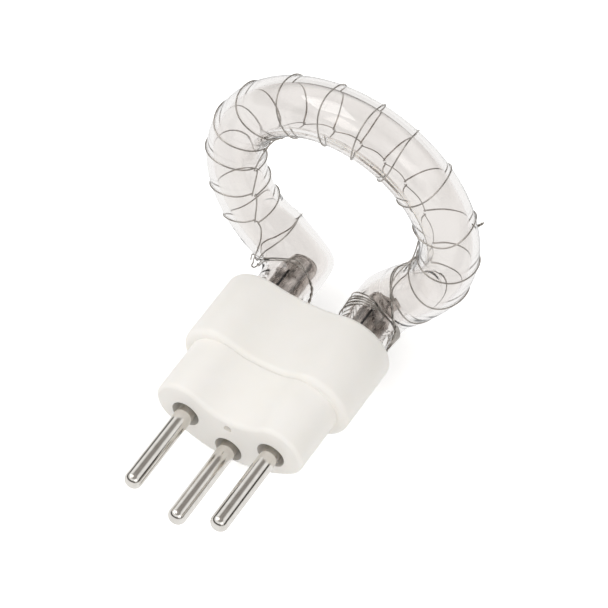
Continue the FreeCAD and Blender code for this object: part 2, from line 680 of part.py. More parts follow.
def rounded_path(points, bend):
    """Straight runs joined by tangent arcs."""
    edges, last = [], points[0]
    for before, at, after in zip(points, points[1:], points[2:]):
        back, on = before.sub(at), after.sub(at)
        back.normalize()
        on.normalize()
        half = back.getAngle(on) / 2
        cut = bend / math.tan(half)
        first, third = at + back * cut, at + on * cut
        middle_way = back + on
        middle_way.normalize()
        middle = at + middle_way * (bend / math.sin(half) - bend)
        edges.append(Part.LineSegment(last, first).toShape())
        edges.append(Part.Arc(first, middle, third).toShape())
        last = third
    edges.append(Part.LineSegment(last, points[-1]).toShape())
    return Part.Wire(edges)


def build():
    """Every sub-part, in the order in which the real one goes together."""
    parts = [make_plug()]
    for side in PINS:
        parts.append(make_pin(side))
        parts.append(make_clip(side))
    parts.append(make_glass())
    for name, across in ELECTRODES.items():
        parts += make_electrode(name, across)
    parts.append(make_cement())
    parts.append(make_winding())
    parts.append(make_binding())
    for side, across in (("left", TAIL_LEFT), ("right", TAIL_RIGHT)):
        top = worth(BINDING_START) + size(f"tail_{side}_rise")
        parts.append(make_tail(f"trigger_tail_{side}", across, top))
    return parts


def check_and_write(parts):
    """Stop on any failed object or bad solid, then write one file for each sub-part."""
    doc.recompute()
    failed = [o.Name for o in doc.Objects if "Invalid" in o.State or "Error" in o.State]
    if failed:
        raise RuntimeError(f"failed objects: {failed}")
    os.makedirs("parts", exist_ok=True)
    for part in parts:
        shape = part.Shape
        if shape.isNull() or not shape.isValid():
            raise RuntimeError(f"{part.Label} is not a valid solid")
        shape.exportStep(os.path.join("parts", f"{part.Label}.step"))
        print(f"{part.Label:22s} solids {len(shape.Solids)}  volume {shape.Volume:9.2f} mm3")


check_and_write(build())
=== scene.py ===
"""Looks of the plug-in ring flash tube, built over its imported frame.

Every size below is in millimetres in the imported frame, and turns to metres where a mesh is made.
Only the lamps are placed in metres.
The pins point along -Y, the ring stands in a plane square to them, +Z is up.
"""
import logging
import math
from dataclasses import dataclass
from enum import Enum
from typing import Any, Sequence

import bmesh
import bpy
import numpy as np
from mathutils import Matrix, Vector


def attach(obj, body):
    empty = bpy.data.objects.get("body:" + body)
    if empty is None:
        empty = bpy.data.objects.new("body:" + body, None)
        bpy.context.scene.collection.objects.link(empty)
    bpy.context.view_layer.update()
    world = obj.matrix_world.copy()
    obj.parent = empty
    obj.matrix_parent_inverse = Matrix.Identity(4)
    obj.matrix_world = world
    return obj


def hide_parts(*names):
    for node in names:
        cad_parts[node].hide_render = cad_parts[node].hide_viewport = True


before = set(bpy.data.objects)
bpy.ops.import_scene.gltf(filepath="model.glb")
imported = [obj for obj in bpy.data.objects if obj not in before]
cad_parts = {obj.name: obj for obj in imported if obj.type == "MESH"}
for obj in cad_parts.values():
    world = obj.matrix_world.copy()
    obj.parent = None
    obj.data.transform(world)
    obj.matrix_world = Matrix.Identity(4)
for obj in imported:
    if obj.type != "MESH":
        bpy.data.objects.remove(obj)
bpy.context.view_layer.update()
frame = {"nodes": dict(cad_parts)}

MM = 0.001
LOG = logging.getLogger("flash_tube")


class Side(Enum):
    """The three pins, as seen from the pins' end."""

    LEFT = "left"
    RIGHT = "right"
    CENTRE = "centre"


# X and Z of each pin's axis
PINS = {Side.LEFT: (-10.25, 0.0), Side.RIGHT: (10.25, 0.0), Side.CENTRE: (0.0, -5.1)}
# Directions that no wire of this part runs along, to frame its section by
OFF_LINE = np.array([0.37, 0.2, 0.9])
OFF_TWIST = np.array([0.31, 0.87, 0.38])
# The range that most values of a noise texture lie in
NOISE_RANGE = (0.3, 0.7)


def unit(v: np.ndarray) -> np.ndarray:
    """Each vector of the last axis brought to length one."""
    return v / np.linalg.norm(v, axis=-1, keepdims=True)


def grid_faces(rows: int, cols: int, flip: bool = False) -> np.ndarray:
    """Quads of a grid whose columns close into a loop.

    Args:
        rows: Count of loops.
        cols: Points in each loop.
        flip: Turn the faces over.

    Returns:
        One row of four point numbers for each quad.
    """
    i, j = np.meshgrid(np.arange(rows - 1), np.arange(cols), indexing="ij")
    k, m = i + 1, (j + 1) % cols
    quads = np.stack([i * cols + j, i * cols + m, k * cols + m, k * cols + j], -1).reshape(-1, 4)
    return quads[:, ::-1] if flip else quads


def capped(rows: int, cols: int) -> list[list[int]]:
    """Faces of a closed tube: the grid's quads and a flat cap at each end."""
    last = (rows - 1) * cols
    return [*grid_faces(rows, cols).tolist(), list(range(cols))[::-1], list(range(last, last + cols))]


def make_piece(name: str, points: np.ndarray, faces: Sequence[Sequence[int]], smooth: bool = True) -> Any:
    """A mesh object at the origin, from points in millimetres.

    Args:
        name: Name of the piece.
        points: One row for each point.
        faces: Point numbers of each face, facing outwards.
        smooth: Shade the faces smooth.

    Returns:
        The new object.
    """
    mesh = bpy.data.meshes.new(name)
    mesh.from_pydata((points * MM).tolist(), [], [list(map(int, f)) for f in faces])
    mesh.polygons.foreach_set("use_smooth", np.full(len(mesh.polygons), smooth))
    mesh.update()
    piece = bpy.data.objects.new(name, mesh)
    bpy.context.scene.collection.objects.link(piece)
    return piece


def swept(path: np.ndarray, beside: np.ndarray, radius: float, sides: int) -> tuple[np.ndarray, np.ndarray]:
    """A round wire along a path: each point is path + radius * (cos(a) * n + sin(a) * b).

    n is the part of `beside` square to the path, and b is square to both.

    Args:
        path: Points of the wire's axis.
        beside: A direction at each point that is never along the path.
        radius: Radius of the wire.
        sides: Points round the wire.

    Returns:
        Points and faces, with a flat cap at each end.
    """
    tangent = unit(np.gradient(path, axis=0))
    normal = unit(beside - (beside * tangent).sum(-1, keepdims=True) * tangent)
    other = np.cross(tangent, normal)
    turn = np.linspace(0, 2 * np.pi, sides, endpoint=False)
    ring = normal[:, None] * np.cos(turn)[None, :, None] + other[:, None] * np.sin(turn)[None, :, None]
    points = (path[:, None] + radius * ring).reshape(-1, 3)
    return points, capped(len(path), sides)


def joined(parts: Sequence[tuple[np.ndarray, Sequence[Sequence[int]]]]) -> tuple[np.ndarray, list[list[int]]]:
    """Several meshes as one: points stacked, and each face's numbers moved on by the points before it."""
    points, faces, start = [], [], 0
    for co, some in parts:
        points.append(co)
        faces += [[int(n) + start for n in f] for f in some]
        start += len(co)
    return np.concatenate(points), faces


def eased(points: Sequence[Sequence[float]], count: int) -> np.ndarray:
    """A smooth line through a few points: between two of them a cubic whose slopes are half the chord across.

    Args:
        points: The points it passes through.
        count: Samples of the whole line.

    Returns:
        One row for each sample.
    """
    p = np.array(points, float)
    slope = np.gradient(p, axis=0)
    t = np.linspace(0, len(p) - 1, count)
    i = np.minimum(t.astype(int), len(p) - 2)
    f = (t - i)[:, None]
    a, b, c, d = 2 * f**3 - 3 * f**2 + 1, f**3 - 2 * f**2 + f, 3 * f**2 - 2 * f**3, f**3 - f**2
    return a * p[i] + b * slope[i] + c * p[i + 1] + d * slope[i + 1]


# ---------------------------------------------------------------- finishes


def linear(code: str) -> tuple[float, float, float, float]:
    """An sRGB hex colour as linear light."""
    rgb = [int(code[i:i + 2], 16) / 255 for i in (1, 3, 5)]
    return tuple(c / 12.92 if c <= 0.04045 else ((c + 0.055) / 1.055) ** 2.4 for c in rgb) + (1.0,)


def node(tree: Any, kind: str, links: dict[str, Any] | None = None, **settings: Any) -> Any:
    """Add a shader node.

    Args:
        tree: Node tree it goes into.
        kind: Blender's name of the node type.
        links: Input name to an output socket or a plain value.
        **settings: Attributes of the node.

    Returns:
        The new node.
    """
    made = tree.nodes.new(kind)
    for key, value in settings.items():
        setattr(made, key, value)
    for key, value in (links or {}).items():
        socket = made.inputs[key]
        if isinstance(value, bpy.types.NodeSocket):
            tree.links.new(value, socket)
        else:
            socket.default_value = value
    return made


def ramp(tree: Any, source: Any, stops: Sequence[tuple[float, str]]) -> Any:
    """A colour ramp from stops of (place, sRGB hex), and its colour output."""
    made = node(tree, "ShaderNodeValToRGB", {"Fac": source})
    marks = made.color_ramp.elements
    while len(marks) < len(stops):
        marks.new(0.5)
    for mark, (place, code) in zip(marks, stops):
        mark.position, mark.color = place, linear(code)
    return made.outputs["Color"]


@dataclass(frozen=True)
class Finish:
    """A surface: what it is made of, its colours and how rough it is.

    Attributes:
        name: Material name.
        colours: Two sRGB colours that slow noise mixes, pale and dark.
        patch_mm: Size of a patch of that noise.
        rough: Least and most roughness.
        metallic: 1 for a bare metal.
        ior: Index of refraction, for what isn't metal.
        grain_mm: Size of the finest bumps.
        grain: Height of those bumps, millimetres.
        stretch: How much longer the grain is along Y than across.
        clear: Share of light that passes through.
        scatter_mm: Depth to which light enters a white moulding.
    """

    name: str
    colours: tuple[str, str]
    patch_mm: float
    rough: tuple[float, float]
    metallic: float = 0.0
    ior: float = 1.5
    grain_mm: float = 0.3
    grain: float = 0.01
    stretch: float = 1.0
    clear: float = 0.0
    scatter_mm: float = 0.0

    def material(self) -> Any:
        """The node material of this finish."""
        made = bpy.data.materials.new(self.name)
        made.use_nodes = True
        tree = made.node_tree
        shader = tree.nodes["Principled BSDF"]
        shader.inputs["Metallic"].default_value = self.metallic
        if not self.metallic:
            shader.inputs["IOR"].default_value = self.ior
        if self.clear:
            shader.inputs["Transmission Weight"].default_value = self.clear
        if self.scatter_mm:
            shader.inputs["Subsurface Weight"].default_value = 0.3
            shader.inputs["Subsurface Radius"].default_value = (1.0, 0.9, 0.8)
            shader.inputs["Subsurface Scale"].default_value = self.scatter_mm * MM
        where = node(tree, "ShaderNodeTexCoord").outputs["Object"]
        long = node(tree, "ShaderNodeMapping", {"Vector": where, "Scale": (1, 1 / self.stretch, 1)})
        slow = node(tree, "ShaderNodeTexNoise",
                    {"Vector": where, "Scale": 1 / (self.patch_mm * MM), "Detail": 3.0})
        fine = node(tree, "ShaderNodeTexNoise",
                    {"Vector": long.outputs["Vector"], "Scale": 1 / (self.grain_mm * MM), "Detail": 2.0})
        colour = ramp(tree, slow.outputs["Fac"], list(zip(NOISE_RANGE, self.colours)))
        self.dress(tree, shader, colour, fine.outputs["Fac"])
        return made

    def dress(self, tree: Any, shader: Any, colour: Any, fine: Any) -> None:
        """Join colour, roughness and bumps to the shader.

        Args:
            tree: Node tree.
            shader: The principled shader.
            colour: Colour output of the patches.
            fine: Grain noise, 0 to 1.
        """
        tree.links.new(colour, shader.inputs["Base Color"])
        rough = node(tree, "ShaderNodeMapRange", {
            "Value": fine, "From Min": NOISE_RANGE[0], "From Max": NOISE_RANGE[1],
            "To Min": self.rough[0], "To Max": self.rough[1]})
        tree.links.new(rough.outputs["Result"], shader.inputs["Roughness"])
        bump = node(tree, "ShaderNodeBump", {"Height": fine, "Strength": 1.0, "Distance": self.grain * MM})
        tree.links.new(bump.outputs["Normal"], shader.inputs["Normal"])


# White thermoset moulding: matt, a little light enters it, tiny pits from the mould
MOULDING = Finish("thermoset_moulded_white", ("#FBF8F4", "#F8F5F0"), 9.0, (0.42, 0.55), ior=1.55,
                  grain_mm=0.35, grain=0.012, scatter_mm=0.8)
# Nickel plating over turned brass: bright, with faint lines drawn along the pin
NICKEL = Finish("nickel_plated_turned_brass", ("#E6E3DE", "#DAD6D0"), 2.0, (0.10, 0.17), metallic=1.0,
                grain_mm=0.12, grain=0.0006, stretch=14.0)
SPRING = Finish("spring_steel_stamped", ("#B9B4AC", "#9B958D"), 1.0, (0.25, 0.35), metallic=1.0, grain=0.002)
# Fire-polished lamp glass: clear, faintly grey through four faces
GLASS = Finish("borosilicate_fire_polished", ("#F6F4F2", "#F4F1EF"), 12.0, (0.0, 0.012), ior=1.47,
               grain_mm=2.5, grain=0.004, clear=1.0)
SEAL = Finish("graded_glass_sintered", ("#DDE3DC", "#C9D2CB"), 1.5, (0.05, 0.12), ior=1.5, clear=0.8)
# Rolled nickel-iron sheet, fired: dull grey with brown and rose tints
SHEET = Finish("nickel_iron_sheet_rolled", ("#D9D2CD", "#9C948F"), 1.6, (0.22, 0.38), metallic=1.0,
               grain_mm=0.25, grain=0.004, stretch=6.0)
TUNGSTEN = Finish("tungsten_sintered", ("#5E5B5A", "#4A4746"), 0.6, (0.45, 0.6), metallic=1.0, grain=0.006)
COPPER = Finish("copper_drawn_bare", ("#C98A62", "#A86A48"), 0.8, (0.25, 0.35), metallic=1.0, grain=0.002)
CEMENT = Finish("potting_cement_cast", ("#DCD7CE", "#C4BEB4"), 0.8, (0.75, 0.9), ior=1.5, grain=0.05)
# Nickel-chrome wire, annealed: thin, grey-brown, satin
WIRE = Finish("nickel_chrome_wire_drawn", ("#B9B4AE", "#9A958F"), 1.0, (0.22, 0.34), metallic=1.0,
              grain_mm=0.1, grain=0.001)


# ---------------------------------------------------------------- glass


@dataclass
class GlassTube:
    """One bent tube: legs, sharp elbows that swell outwards, arms and the ring.

    A station is a centre, two directions and a radius along each; its section is the ellipse
    centre + r1 * cos(a) * e1 + r2 * sin(a) * e2. neck gives (Y, radius) where the leg narrows, and
    thickest is the most of a radius that the wall may fill there.
    """

    half_spacing: float = 10.25
    ring_radius: float = 25.4
    arm: float = 15.25
    reach: float = 45.1
    lift: float = 2.0
    leg_r: float = 6.0
    arm_r: float = 6.7
    tube_r: float = 6.25
    wall: float = 1.5
    bend: float = 7.2
    squareness: float = 9.0
    swell: float = 0.25
    leg_end: float = 28.0
    thickest: float = 0.6
    leg_rows: int = 9
    elbow_rows: int = 33
    arm_rows: int = 12
    ring_rows: int = 81
    neck: tuple[tuple[float, float], ...] = ((23.65, 2.25), (25.6, 2.25), (26.2, 2.9), (27.3, 5.2))

    @property
    def height(self) -> float:
        """Ring centre above the legs' axes."""
        return math.sqrt(self.ring_radius**2 + self.arm**2 - self.half_spacing**2)

    @property
    def tangent_angle(self) -> float:
        """Angle from the ring's bottom to where the arm meets it."""
        span = math.hypot(self.half_spacing, self.height)
        return math.atan2(self.half_spacing, self.height) + math.acos(self.ring_radius / span)

    def on_ring(self, angle: np.ndarray, section: np.ndarray, radius: float | np.ndarray) -> np.ndarray:
        """A point near the ring's surface.

        Args:
            angle: Degrees from the ring's bottom towards the left leg.
            section: Degrees round the tube, 0 outwards, -90 to the front.
            radius: Distance from the tube's axis.

        Returns:
            Points, one for each angle.
        """
        t, f = np.radians(angle), np.radians(section)
        out = self.ring_radius + radius * np.cos(f)
        return np.stack([-out * np.sin(t), self.reach + radius * np.sin(f), self.height - out * np.cos(t)], -1)

    def half(self) -> tuple[np.ndarray, ...]:
        """Stations of the left half, from the neck inside the plug to the ring's top."""
        left, psi = -self.half_spacing, self.tangent_angle
        touch = self.on_ring(np.degrees([psi]), np.zeros(1), 0.0)[0]
        corner = np.array([left, self.reach + self.lift, 0.0])
        leg, arm = np.array([0.0, 1.0, 0.0]), unit(touch - corner)
        side = unit(np.cross(leg, arm))
        inward = np.cross(side, leg)
        turn = math.acos(float(leg @ arm))
        cut = self.bend * math.tan(turn / 2)
        pivot = corner - leg * cut + inward * self.bend
        parts = []
        neck = np.array(self.neck + ((self.leg_end, self.leg_r),))
        straight = np.linspace(self.leg_end + 0.6, corner[1] - cut, self.leg_rows)[:-1]
        y = np.concatenate([neck[:, 0], straight])
        r = np.concatenate([neck[:, 1], np.full(len(straight), self.leg_r)])
        centre = np.stack([np.full_like(y, left), y, np.zeros_like(y)], -1)
        parts.append((centre, np.broadcast_to(-inward, centre.shape), r, r))
        b = np.linspace(0, turn, self.elbow_rows)
        share = b / turn
        grown = self.leg_r + (self.arm_r - self.leg_r) * share
        bulge = self.swell * np.sin(np.pi * share)
        n = self.squareness
        quarter = b * np.pi / 2 / turn
        mitre = (np.abs(np.cos(quarter))**n + np.abs(np.sin(quarter))**n)**(-1 / n)
        inner, outer = self.bend - grown, (self.bend + grown) * mitre + bulge
        out = -inward * np.cos(b)[:, None] + leg * np.sin(b)[:, None]
        parts.append((pivot + out * ((inner + outer) / 2)[:, None], out, (outer - inner) / 2, grown + bulge))
        s = np.linspace(0, 1, self.arm_rows)[1:]
        centre = corner + arm * cut + (touch - corner - arm * cut) * s[:, None]
        centre[:, 1] = (corner + arm * cut)[1] + (self.reach - (corner + arm * cut)[1]) * s * s * (3 - 2 * s)
        r = self.arm_r + (self.tube_r - self.arm_r) * s
        parts.append((centre, np.broadcast_to(out[-1], centre.shape), r, r))
        a = np.linspace(psi, np.pi, self.ring_rows)[1:]
        centre = self.on_ring(np.degrees(a), np.zeros_like(a), 0.0)
        r = np.full_like(a, self.tube_r)
        parts.append((centre, np.broadcast_to([0.0, 1.0, 0.0], centre.shape), r, r))
        return tuple(np.concatenate([p[i] for p in parts]) for i in range(4))

    def skin(self, inset: float, sides: int = 96) -> np.ndarray:
        """Grid of the tube's surface, moved inwards by `inset` from the outside.

        Args:
            inset: Distance inside the outer surface.
            sides: Points round the tube.

        Returns:
            Points by station and by angle.
        """
        centre, e1, r1, r2 = self.half()
        centre = np.concatenate([centre, centre[-2::-1] * [-1, 1, 1]])
        e1 = np.concatenate([e1, e1[-2::-1] * [-1, 1, 1]])
        r1, r2 = (np.concatenate([r, r[-2::-1]]) for r in (r1, r2))
        tangent = unit(np.gradient(centre, axis=0))
        e1 = unit(e1)
        e2 = unit(np.cross(tangent, e1))
        a = np.linspace(0, 2 * np.pi, sides, endpoint=False)
        thick = np.minimum(inset, self.thickest * r1)
        return (centre[:, None] + e1[:, None] * (np.cos(a)[None] * (r1 - thick)[:, None])[..., None]
                + e2[:, None] * (np.sin(a)[None] * (r2 - thick)[:, None])[..., None])

    def build(self) -> Any:
        """The glass as one closed shell: outside, bore and a flat end at each neck."""
        outside, bore = self.skin(0.0), self.skin(self.wall)
        rows, cols = outside.shape[:2]
        count = rows * cols
        faces = grid_faces(rows, cols).tolist()
        faces += (grid_faces(rows, cols, flip=True) + count).tolist()
        j = np.arange(cols)
        k = (j + 1) % cols
        last = (rows - 1) * cols
        faces += np.stack([j, j + count, k + count, k], -1).tolist()
        faces += np.stack([last + j, last + k, last + k + count, last + j + count], -1).tolist()
        points = np.concatenate([outside.reshape(-1, 3), bore.reshape(-1, 3)])
        piece = make_piece("glass_ring", points, faces)
        fix_normals(piece)
        piece.data.materials.append(GLASS.material())
        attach(piece, "root")
        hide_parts("glass_tube")
        return piece


def fix_normals(piece: Any) -> None:
    """Turn the whole mesh right side out if its signed volume is negative."""
    mesh = piece.data
    mesh.calc_loop_triangles()
    tris = np.zeros(len(mesh.loop_triangles) * 3, np.int32)
    mesh.loop_triangles.foreach_get("vertices", tris)
    co = np.zeros(len(mesh.vertices) * 3)
    mesh.vertices.foreach_get("co", co)
    a, b, c = co.reshape(-1, 3)[tris.reshape(-1, 3)].transpose(1, 0, 2)
    if (a * np.cross(b, c)).sum() < 0:
        mesh.flip_normals()


# ---------------------------------------------------------------- trigger wire


@dataclass(frozen=True)
class Loop:
    """One turn of wire round the glass: angle(f) = middle + c1 cos f + s1 sin f + c2 cos 2f + s2 sin 2f.

    f is the angle round the tube, and knot is where the loop is hitched to the strand.
    """

    middle: float
    c1: float
    s1: float
    c2: float
    s2: float
    knot: float

    def angle(self, section: np.ndarray) -> np.ndarray:
        """Place along the ring, in degrees, at each angle round the tube."""
        f = np.radians(section)
        return (self.middle + self.c1 * np.cos(f) + self.s1 * np.sin(f)
                + self.c2 * np.cos(2 * f) + self.s2 * np.sin(2 * f))


LOOPS = (
    Loop(57.8, 0.0, -1.0, -1.2, -1.9, -132), Loop(74.3, 0.2, -1.8, -0.8, -0.6, -148),
    Loop(94.2, 1.5, -2.8, -0.8, 1.0, -159), Loop(112.1, 1.2, -3.7, 0.9, 2.7, -166),
    Loop(132.2, -0.3, -3.6, 0.7, 2.3, -170), Loop(153.9, 1.4, -2.1, -0.2, 1.3, -184),
    Loop(174.5, 0.8, -1.4, -0.3, 1.4, -186), Loop(192.7, 0.4, -0.4, -0.4, 0.8, -185),
    Loop(209.9, 0.0, -1.1, -1.0, 0.7, -184), Loop(228.5, 1.1, -0.5, -0.9, -0.2, -184),
    Loop(252.2, 1.2, 0.9, -1.6, -1.4, -187), Loop(276.4, -1.9, 1.7, -0.6, -1.2, -192),
    Loop(295.7, -3.1, 1.3, -1.5, -2.5, -205), Loop(312.1, -1.6, -3.6, 1.8, -2.1, -140),
)


@dataclass
class TriggerWire:
    """Thin wire: a strand along the inside of the ring with a hitched loop at each station."""

    glass: GlassTube
    radius: float = 0.16
    gap: float = 0.03
    sides: int = 8
    hitch: float = 0.9
    bow: float = 5.0
    curl: float = 3.5
    elbow_core: tuple[float, float, float] = (12.0, 45.0, 5.0)
    meet: float = 52.0
    tilts: tuple[float, ...] = (-1.5, -0.3, 0.6, 1.4, 2.6)

    def lift(self, turns: float = 1.0) -> float:
        """Distance of a wire's axis from the tube's, when it lies in the given layer of wire."""
        return self.glass.tube_r + self.gap + self.radius * (2 * turns - 1)

    def loop(self, shape: Loop) -> np.ndarray:
        """One turn that starts and ends at its knot, a little apart, and crosses over itself there."""
        s = np.linspace(0, 1, 97)
        section = shape.knot + 360 * s
        apart = self.hitch * (0.5 - s) * np.exp(-((np.minimum(s, 1 - s) / 0.06) ** 2)) * 2
        height = self.lift() + 2 * self.radius * np.exp(-(((1 - s) / 0.03) ** 2))
        return self.glass.on_ring(shape.angle(section) + apart, section, height)

    def strand(self, first: Loop, second: Loop) -> np.ndarray:
        """From one knot to the next: bowed a little sideways, and curled into each knot."""
        s = np.linspace(0, 1, 25)
        a, b = (float(k.angle(np.array([k.knot]))[0]) for k in (first, second))
        section = (first.knot + (second.knot - first.knot) * s
                   - self.bow * np.sin(np.pi * s) + self.curl * np.cos(np.pi * s))
        height = self.lift(1.6) + 0.5 * self.radius * np.cos(2 * np.pi * s)
        return self.glass.on_ring(a + (b - a) * s, section, height)

    def wire(self, path: np.ndarray, about: np.ndarray | None = None) -> tuple[np.ndarray, Any]:
        """The round wire along a path, framed by the direction away from `about` or from the ring's axis."""
        if about is None:
            middle = np.array([0.0, self.glass.reach, self.glass.height])
            flat = path - middle
            flat[:, 1] = 0
            about = middle + unit(flat) * self.glass.ring_radius
        return swept(path, path - about, self.radius, self.sides)

    def twisted(self, path: np.ndarray, pitch: float) -> list[tuple]:
        """Two wires twisted round a common line: each turns once in `pitch` millimetres, half a turn apart."""
        run = np.concatenate([[0], np.cumsum(np.linalg.norm(np.diff(path, axis=0), axis=1))])
        tangent = unit(np.gradient(path, axis=0))
        n = unit(np.cross(tangent, OFF_LINE))
        b = np.cross(tangent, n)
        made = []
        for phase in (0.0, math.pi):
            turn = (2 * math.pi * run / pitch + phase)[:, None]
            line = path + self.radius * 1.05 * (n * np.cos(turn) + b * np.sin(turn))
            made.append(swept(line, np.broadcast_to(OFF_TWIST, line.shape), self.radius, self.sides))
        return made

    def build(self) -> list[Any]:
        """The winding, the tight turns on the right leg and both twisted ends."""
        parts = [self.wire(self.loop(k)) for k in LOOPS]
        parts += [self.wire(self.strand(a, b)) for a, b in zip(LOOPS, LOOPS[1:])]
        parts += self.left_arm()
        pieces = [make_piece("hitched_wire", *joined(parts))]
        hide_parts("trigger_wire")
        pieces.append(make_piece("tight_turns", *joined([self.tight_turn(k) for k in range(len(self.tilts))])))
        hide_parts("trigger_binding")
        pieces += [self.left_tail(), self.right_tail()]
        metal = WIRE.material()
        for piece in pieces:
            piece.data.materials.append(metal)
            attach(piece, "root")
        return pieces

    def arm_point(self, share: np.ndarray, section: np.ndarray, radius: float) -> np.ndarray:
        """Points round the left arm.

        Args:
            share: 0 at the elbow's corner, 1 at the ring.
            section: Degrees round the arm, 0 outwards, -90 to the front.
            radius: Distance from the arm's axis.

        Returns:
            One point for each share and section.
        """
        g = self.glass
        psi = g.tangent_angle
        touch = g.on_ring(np.degrees([psi]), np.zeros(1), 0.0)[0]
        corner = np.array([-g.half_spacing, g.reach + g.lift, 0.0])
        arm = unit(touch - corner)
        out = np.array([-math.sin(psi), 0.0, -math.cos(psi)])
        out = unit(out - (out @ arm) * arm)
        back = np.cross(arm, out) * np.sign(np.cross(arm, out)[1])
        f = np.radians(section)[:, None]
        return corner + (touch - corner) * share[:, None] + radius * (out * np.cos(f) + back * np.sin(f))

    def over(self, spots: Sequence[Sequence[float]], count: int, side: float) -> tuple:
        """The wire through a few spots on an elbow, framed by a point inside the glass."""
        path = eased(spots, count)
        return self.wire(path, np.broadcast_to(np.array(self.elbow_core) * [side, 1, 1], path.shape))

    def left_arm(self) -> list[tuple]:
        """The slanted turn round the left arm, its hook, and the strand up to the first knot."""
        turn = np.array([(0.515, -57), (0.7, -102), (0.73, -129), (0.72, -155), (0.71, -180), (0.68, -209),
                         (0.48, -262), (0.38, -297), (0.4, -330), (0.48, -355), (0.54, -380), (0.53, -417)])
        share, section = eased(turn, 120).T
        arm = self.arm_point(share, section, self.glass.arm_r + self.gap + self.radius)
        about = self.arm_point(share, section, 1.0)
        first = LOOPS[0]
        knot = np.array([float(first.knot)])
        end = self.glass.on_ring(first.angle(knot), knot, self.lift(1.6))[0]
        strand = [(-18.2, 39.4, 2.9), (-17.3, 38.7, 6.4), (-16.3, 38.5, 9.8), (-15.9, 39.1, 12.7),
                  (-16.2, 39.7, 15.1), (-16.8, 39.8, 16.3), tuple(end)]
        hook = [(-18.8, 39.6, 3.6), (-18.5, 39.3, 5.0), (-18.1, 39.0, 6.3), (-17.6, 38.9, 6.8)]
        curl = [(-18.1, 39.5, 3.3), (-18.3, 39.1, 2.5), (-17.9, 39.3, 1.9), (-17.4, 39.7, 2.3),
                (-17.2, 39.7, 3.1)]
        return [self.wire(arm, about), self.over(strand, 50, -1), self.over(hook, 20, -1),
                self.over(curl, 40, -1)]

    def tight_turn(self, index: int) -> tuple:
        """A slanted turn round the right leg.

        Y is middle + tilt * (1 - cos(turn - meet)) / 1.5, so all turns come together at `meet` degrees.
        """
        s = np.linspace(0, 1, 97)
        turn = np.radians(360 * s + 40 * index)
        r = self.glass.leg_r + 0.25 + self.gap + self.radius + 0.06 * index
        tilt = self.tilts[index]
        y = 39.9 + 0.2 * index + tilt * (1 - np.cos(turn - math.radians(self.meet))) / 1.5
        path = np.stack([self.glass.half_spacing + r * np.sin(turn), y, r * np.cos(turn)], -1)
        return self.wire(path, path * [0, 1, 0] + [self.glass.half_spacing, 0, 0])

    def left_tail(self) -> Any:
        """Two loose turns over the left leg that join, twisted, and go into the plug."""
        upper = [(-17.5, 40.3, 1.6), (-16.6, 39.6, 3.9), (-15.2, 39.2, 6.5), (-12.9, 40.2, 7.2),
                 (-11.0, 41.0, 7.2), (-8.9, 42.0, 7.1), (-7.3, 42.0, 6.0), (-5.4, 41.2, 4.1), (-4.5, 40.9, 2.5)]
        lower = [(-17.3, 40.4, 1.6), (-15.3, 39.5, 5.3), (-12.9, 39.9, 6.8), (-9.9, 41.0, 6.9),
                 (-7.6, 41.4, 6.1), (-6.0, 41.6, 4.8), (-5.2, 41.1, 3.6), (-4.5, 40.7, 2.3)]
        path = eased([(-5.0, 41.0, 3.4), (-4.2, 40.5, 2.0), (-3.9, 39.5, 0.5), (-3.9, 38.4, -0.8),
                      (-3.7, 36.5, -0.8), (-3.6, 33.5, -0.3), (-3.6, 24.0, 0.0)], 160)
        parts = [self.over(upper, 60, -1), self.over(lower, 60, -1)] + self.twisted(path, 2.8)
        piece = make_piece("left_twist", *joined(parts))
        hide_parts("trigger_tail_left")
        return piece

    def right_tail(self) -> Any:
        """The winding's other end: two strands over the right arm, twisted beside the leg into the plug."""
        outer = [(21.0, 39.8, 33.4), (19.4, 42.0, 27.6), (17.2, 45.0, 20.8), (16.9, 44.2, 19.4),
                 (14.3, 46.2, 15.4), (12.9, 45.8, 14.0), (13.0, 43.8, 13.8), (13.9, 41.8, 13.5),
                 (14.9, 40.2, 12.6)]
        inner = [(17.1, 44.2, 19.5), (17.7, 42.0, 19.2), (16.3, 41.8, 16.6), (15.2, 40.9, 14.2),
                 (15.2, 40.0, 12.7)]
        path = eased([(15.1, 40.0, 12.8), (15.6, 39.4, 11.8), (16.1, 38.9, 9.5), (16.4, 38.9, 6.5),
                      (16.6, 39.7, 3.4), (16.7, 39.2, 1.1), (16.7, 37.4, -0.4), (16.9, 33.5, -0.3),
                      (16.9, 24.0, 0.0)], 260)
        nub = eased([(29.4, 48.9, 34.0), (29.9, 49.2, 34.6), (30.5, 49.4, 35.2)], 30)
        parts = [self.over(outer, 80, 1), self.over(inner, 50, 1)]
        parts += self.twisted(path, 4.2) + self.twisted(nub, 1.1)
        piece = make_piece("right_twist", *joined(parts))
        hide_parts("trigger_tail_right")
        return piece


# ---------------------------------------------------------------- plug, pins, electrodes


